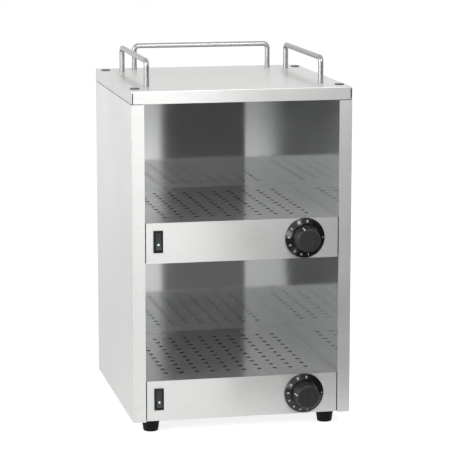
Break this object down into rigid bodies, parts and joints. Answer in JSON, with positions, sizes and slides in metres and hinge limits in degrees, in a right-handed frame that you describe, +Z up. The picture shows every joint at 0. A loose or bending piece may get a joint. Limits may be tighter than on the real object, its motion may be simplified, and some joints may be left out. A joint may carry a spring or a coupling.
{
  "type": "cup warmer",
  "caption": "Free-standing open-front cup warmer: a double-walled steel cabinet with heated perforated shelves, each with a rocker switch and a thermostat knob, and a railed top plate.",
  "frame": {"origin": "centre of the overall footprint, knobs and cable gland included, on the floor under the feet", "axes": "+Z up; the open front with its knobs faces -Y; +X is to the right of someone facing the front"},
  "size_m": [0.33, 0.3844, 0.554],
  "materials": {
    "stainless_steel": "fine satin stainless sheet",
    "mirror_stainless": "bright-annealed stainless sheet",
    "bright_rod": "polished",
    "black_knob_plastic": "satin black",
    "black_ring_plastic": "gloss black",
    "white_inlay": "white",
    "black_switch_plastic": "gloss black",
    "rocker_plastic": "dark grey",
    "green_lens": "green, glossy",
    "cap_plastic": "dark",
    "foot_rubber": "black",
    "mineral_wool": "matted fibre",
    "element_sheath": "oxidised sheath",
    "zinc_steel": "zinc-plated",
    "phenolic": "brown moulding",
    "copper_alloy": "bare",
    "plated_brass": "bare",
    "wire_insulation": "silicone sleeve",
    "grey_nylon": "moulded",
    "block_ceramic": "glazed"
  },
  "bodies": {
    "cabinet": {"base_plate": "stainless_steel", "cable_gland": "grey_nylon", "ceiling_panel": "mirror_stainless", "control_terminals": "plated_brass", "cover_caps": "cap_plastic", "cover_screws": "zinc_steel", "feet": "foot_rubber", "foot_nuts": "zinc_steel", "foot_screws": "zinc_steel", "left_inner_panel": "mirror_stainless", "left_insulation": "mineral_wool", "left_outer_panel": "stainless_steel", "left_rail": "bright_rod", "lower_capillary_bulb": "copper_alloy", "lower_dial_ring": "black_ring_plastic", "lower_element_brackets": "zinc_steel", "lower_fascia": "stainless_steel", "lower_heating_element": "element_sheath", "lower_switch_housing": "black_switch_plastic", "lower_thermostat": "phenolic", "lower_tray": "stainless_steel", "lower_tray_ledges": "mirror_stainless", "lower_wires": "wire_insulation", "rail_nuts": "zinc_steel", "rear_inner_panel": "mirror_stainless", "rear_insulation": "mineral_wool", "rear_outer_panel": "stainless_steel", "rear_panel_screws": "zinc_steel", "rear_rail": "bright_rod", "right_inner_panel": "mirror_stainless", "right_insulation": "mineral_wool", "right_outer_panel": "stainless_steel", "right_rail": "bright_rod", "terminal_block": "block_ceramic", "thermostat_nuts": "zinc_steel", "top_cover": "stainless_steel", "top_insulation": "mineral_wool", "upper_capillary_bulb": "copper_alloy", "upper_dial_ring": "black_ring_plastic", "upper_element_brackets": "zinc_steel", "upper_fascia": "stainless_steel", "upper_heating_element": "element_sheath", "upper_shelf_pan": "mirror_stainless", "upper_switch_housing": "black_switch_plastic", "upper_thermostat": "phenolic", "upper_tray": "stainless_steel", "upper_tray_ledges": "mirror_stainless", "upper_wires": "wire_insulation", "wire_grommets": "foot_rubber"},
    "lower_knob": {"lower_knob": "black_knob_plastic", "lower_pointer": "white_inlay", "lower_spindle": "zinc_steel"},
    "lower_rocker": {"lower_rocker": "rocker_plastic", "lower_indicator_lens": "green_lens"},
    "upper_knob": {"upper_knob": "black_knob_plastic", "upper_pointer": "white_inlay", "upper_spindle": "zinc_steel"},
    "upper_rocker": {"upper_rocker": "rocker_plastic", "upper_indicator_lens": "green_lens"}
  },
  "joints": [
    {"name": "upper_knob_turn", "type": "hinge", "parent": "cabinet", "child": "upper_knob", "pos_m": [0.094, -0.16375, 0.2894], "axis": [0, 1, 0], "range_deg": [-167, 31]},
    {"name": "lower_knob_turn", "type": "hinge", "parent": "cabinet", "child": "lower_knob", "pos_m": [0.094, -0.16375, 0.0526], "axis": [0, 1, 0], "range_deg": [-112, 86]},
    {"name": "upper_rocker_tilt", "type": "hinge", "parent": "cabinet", "child": "upper_rocker", "pos_m": [-0.1265, -0.16175, 0.2911], "axis": [1, 0, 0], "range_deg": [0, 16]},
    {"name": "lower_rocker_tilt", "type": "hinge", "parent": "cabinet", "child": "lower_rocker", "pos_m": [-0.1265, -0.16175, 0.0543], "axis": [1, 0, 0], "range_deg": [0, 16]}
  ]
}
